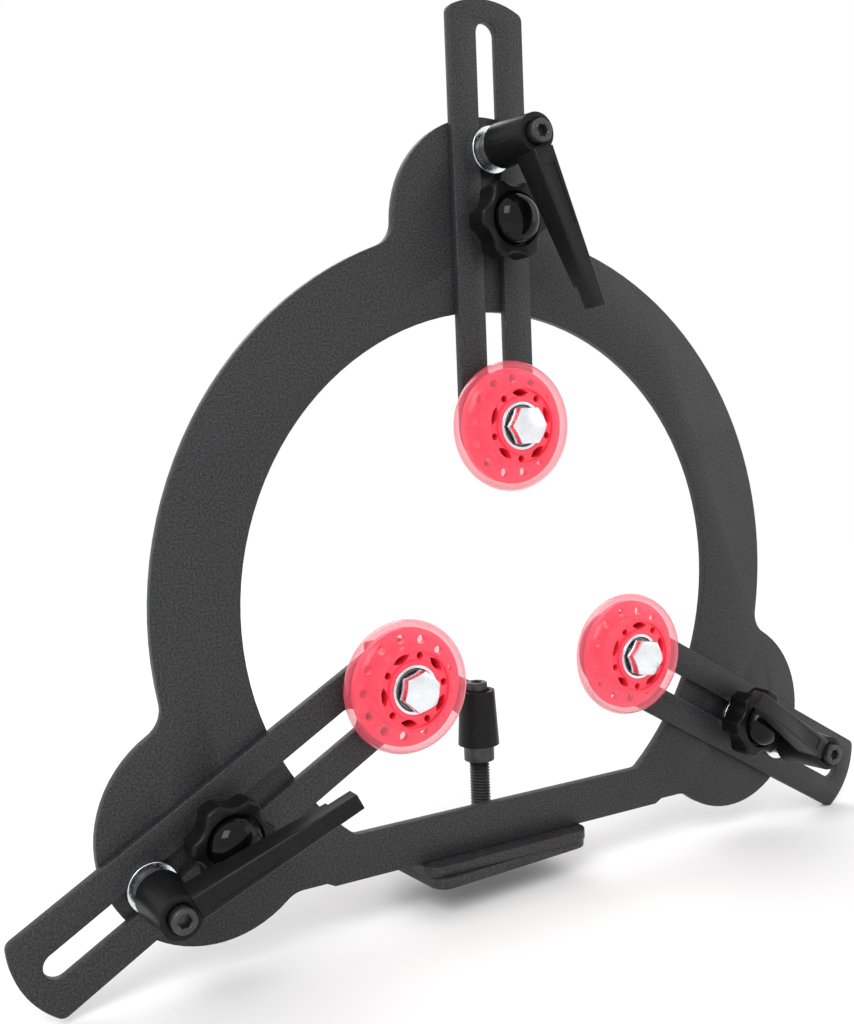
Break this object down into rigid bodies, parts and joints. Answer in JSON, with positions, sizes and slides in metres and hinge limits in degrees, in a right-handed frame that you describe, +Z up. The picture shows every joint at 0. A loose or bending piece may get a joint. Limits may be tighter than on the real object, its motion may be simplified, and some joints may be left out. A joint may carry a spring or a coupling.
{
  "type": "steady rest",
  "caption": "Lathe steady rest: an open flat ring on a foot with a bed clamp, and slotted arms that slide in to hold round work between ball-bearing rollers.",
  "frame": {"origin": "on the lathe bed, under the middle of the ring, in the plane of the ring's front face", "axes": "+Z up; the ring's axis along Y, rollers and levers towards -Y; +X to the right seen from the rollers' side"},
  "size_m": [0.473, 0.1532, 0.4202],
  "materials": {
    "black_coat": "fine textured black powder coat",
    "lever_coat": "satin black powder coat on cast metal",
    "black_steel": "black oxide",
    "spring_steel": "drawn wire",
    "zinc": "bright zinc plate",
    "bearing_steel": "ground steel",
    "knob_plastic": "fine grained black moulding",
    "knob_cap_plastic": "polished black moulding",
    "core_red": "see-through red moulding",
    "tyre_clear": "see-through soft polyurethane"
  },
  "bodies": {
    "frame": {"ring_plate": "black_coat", "foot_plate": "black_coat", "foot_weld": "black_coat", "weld_nuts": "zinc", "slot_washers": "zinc"},
    "top_arm_body": {"top_arm": "black_coat", "top_axle_bolt": "zinc", "top_axle_nut": "zinc", "top_axle_washers": "zinc", "top_axle_rings": "zinc", "top_axle_tube": "zinc"},
    "top_wheel": {"top_wheel_core": "core_red", "top_tyre": "tyre_clear", "top_bearings": "bearing_steel"},
    "top_lever": {"top_lever_sleeve": "black_steel", "top_lever_screw": "black_steel", "top_lever_spring": "spring_steel"},
    "top_lever_grip": {"top_lever_handle": "lever_coat"},
    "top_star_knob": {"top_knob": "knob_plastic", "top_knob_cap": "knob_cap_plastic", "top_knob_stud": "zinc"},
    "left_arm_body": {"left_arm": "black_coat", "left_axle_bolt": "zinc", "left_axle_nut": "zinc", "left_axle_washers": "zinc", "left_axle_rings": "zinc", "left_axle_tube": "zinc"},
    "left_wheel": {"left_wheel_core": "core_red", "left_tyre": "tyre_clear", "left_bearings": "bearing_steel"},
    "left_lever": {"left_lever_sleeve": "black_steel", "left_lever_screw": "black_steel", "left_lever_spring": "spring_steel"},
    "left_lever_grip": {"left_lever_handle": "lever_coat"},
    "left_star_knob": {"left_knob": "knob_plastic", "left_knob_cap": "knob_cap_plastic", "left_knob_stud": "zinc"},
    "right_arm_body": {"right_arm": "black_coat", "right_axle_bolt": "zinc", "right_axle_nut": "zinc", "right_axle_washers": "zinc", "right_axle_rings": "zinc", "right_axle_tube": "zinc"},
    "right_wheel": {"right_wheel_core": "core_red", "right_tyre": "tyre_clear", "right_bearings": "bearing_steel"},
    "right_lever": {"right_lever_sleeve": "black_steel", "right_lever_screw": "black_steel", "right_lever_spring": "spring_steel"},
    "right_lever_grip": {"right_lever_handle": "lever_coat"},
    "right_star_knob": {"right_knob": "knob_plastic", "right_knob_cap": "knob_cap_plastic", "right_knob_stud": "zinc"},
    "bed_clamp": {"clamp_plate": "black_coat"},
    "bed_lever": {"bed_lever_sleeve": "black_steel", "bed_lever_screw": "black_steel", "bed_lever_spring": "spring_steel"},
    "bed_lever_grip": {"bed_lever_handle": "lever_coat"}
  },
  "joints": [
    {"name": "top_arm_slide", "type": "slide", "parent": "frame", "child": "top_arm_body", "axis": [0, 0, 1], "range_m": [-0.0405, 0.0435]},
    {"name": "top_wheel_spin", "type": "hinge", "parent": "top_arm_body", "child": "top_wheel", "pos_m": [0, 0, 0.206], "axis": [0, -1, 0], "continuous": true},
    {"name": "top_lever_turn", "type": "hinge", "parent": "frame", "child": "top_lever", "pos_m": [0, 0, 0.3325], "axis": [0, -1, 0], "range_deg": [-180, 180]},
    {"name": "top_lever_lift", "type": "slide", "parent": "top_lever", "child": "top_lever_grip", "axis": [0, -1, 0], "range_m": [0, 0.0035], "stiffness_N_per_m": 800, "springref_m": -0.002},
    {"name": "top_knob_turn", "type": "hinge", "parent": "frame", "child": "top_star_knob", "pos_m": [0, 0, 0.2985], "axis": [0, -1, 0], "range_deg": [-180, 180]},
    {"name": "left_arm_slide", "type": "slide", "parent": "frame", "child": "left_arm_body", "axis": [-0.866, 0, -0.5], "range_m": [-0.0335, 0.0505]},
    {"name": "left_wheel_spin", "type": "hinge", "parent": "left_arm_body", "child": "left_wheel", "pos_m": [-0.06105, 0, 0.09325], "axis": [0, -1, 0], "continuous": true},
    {"name": "left_lever_turn", "type": "hinge", "parent": "frame", "child": "left_lever", "pos_m": [-0.17667, 0, 0.0265], "axis": [0, -1, 0], "range_deg": [-180, 180]},
    {"name": "left_lever_lift", "type": "slide", "parent": "left_lever", "child": "left_lever_grip", "axis": [0, -1, 0], "range_m": [0, 0.0035], "stiffness_N_per_m": 800, "springref_m": -0.002},
    {"name": "left_knob_turn", "type": "hinge", "parent": "frame", "child": "left_star_knob", "pos_m": [-0.14722, 0, 0.0435], "axis": [0, -1, 0], "range_deg": [-180, 180]},
    {"name": "right_arm_slide", "type": "slide", "parent": "frame", "child": "right_arm_body", "axis": [0.866, 0, -0.5], "range_m": [-0.0385, 0.0455]},
    {"name": "right_wheel_spin", "type": "hinge", "parent": "right_arm_body", "child": "right_wheel", "pos_m": [0.06538, 0, 0.09075], "axis": [0, -1, 0], "continuous": true},
    {"name": "right_lever_turn", "type": "hinge", "parent": "frame", "child": "right_lever", "pos_m": [0.17667, 0, 0.0265], "axis": [0, -1, 0], "range_deg": [-180, 180]},
    {"name": "right_lever_lift", "type": "slide", "parent": "right_lever", "child": "right_lever_grip", "axis": [0, -1, 0], "range_m": [0, 0.0035], "stiffness_N_per_m": 800, "springref_m": -0.002},
    {"name": "right_knob_turn", "type": "hinge", "parent": "frame", "child": "right_star_knob", "pos_m": [0.14722, 0, 0.0435], "axis": [0, -1, 0], "range_deg": [-180, 180]},
    {"name": "clamp_plate_slide", "type": "slide", "parent": "frame", "child": "bed_clamp", "axis": [0, 0, -1], "range_m": [0, 0.0367]},
    {"name": "bed_lever_turn", "type": "hinge", "parent": "bed_clamp", "child": "bed_lever", "pos_m": [-0.003, 0.0195, 0], "axis": [0, 0, 1], "range_deg": [-105, 75]},
    {"name": "bed_lever_lift", "type": "slide", "parent": "bed_lever", "child": "bed_lever_grip", "axis": [0, 0, 1], "range_m": [0, 0.0035], "stiffness_N_per_m": 800, "springref_m": -0.002}
  ]
}
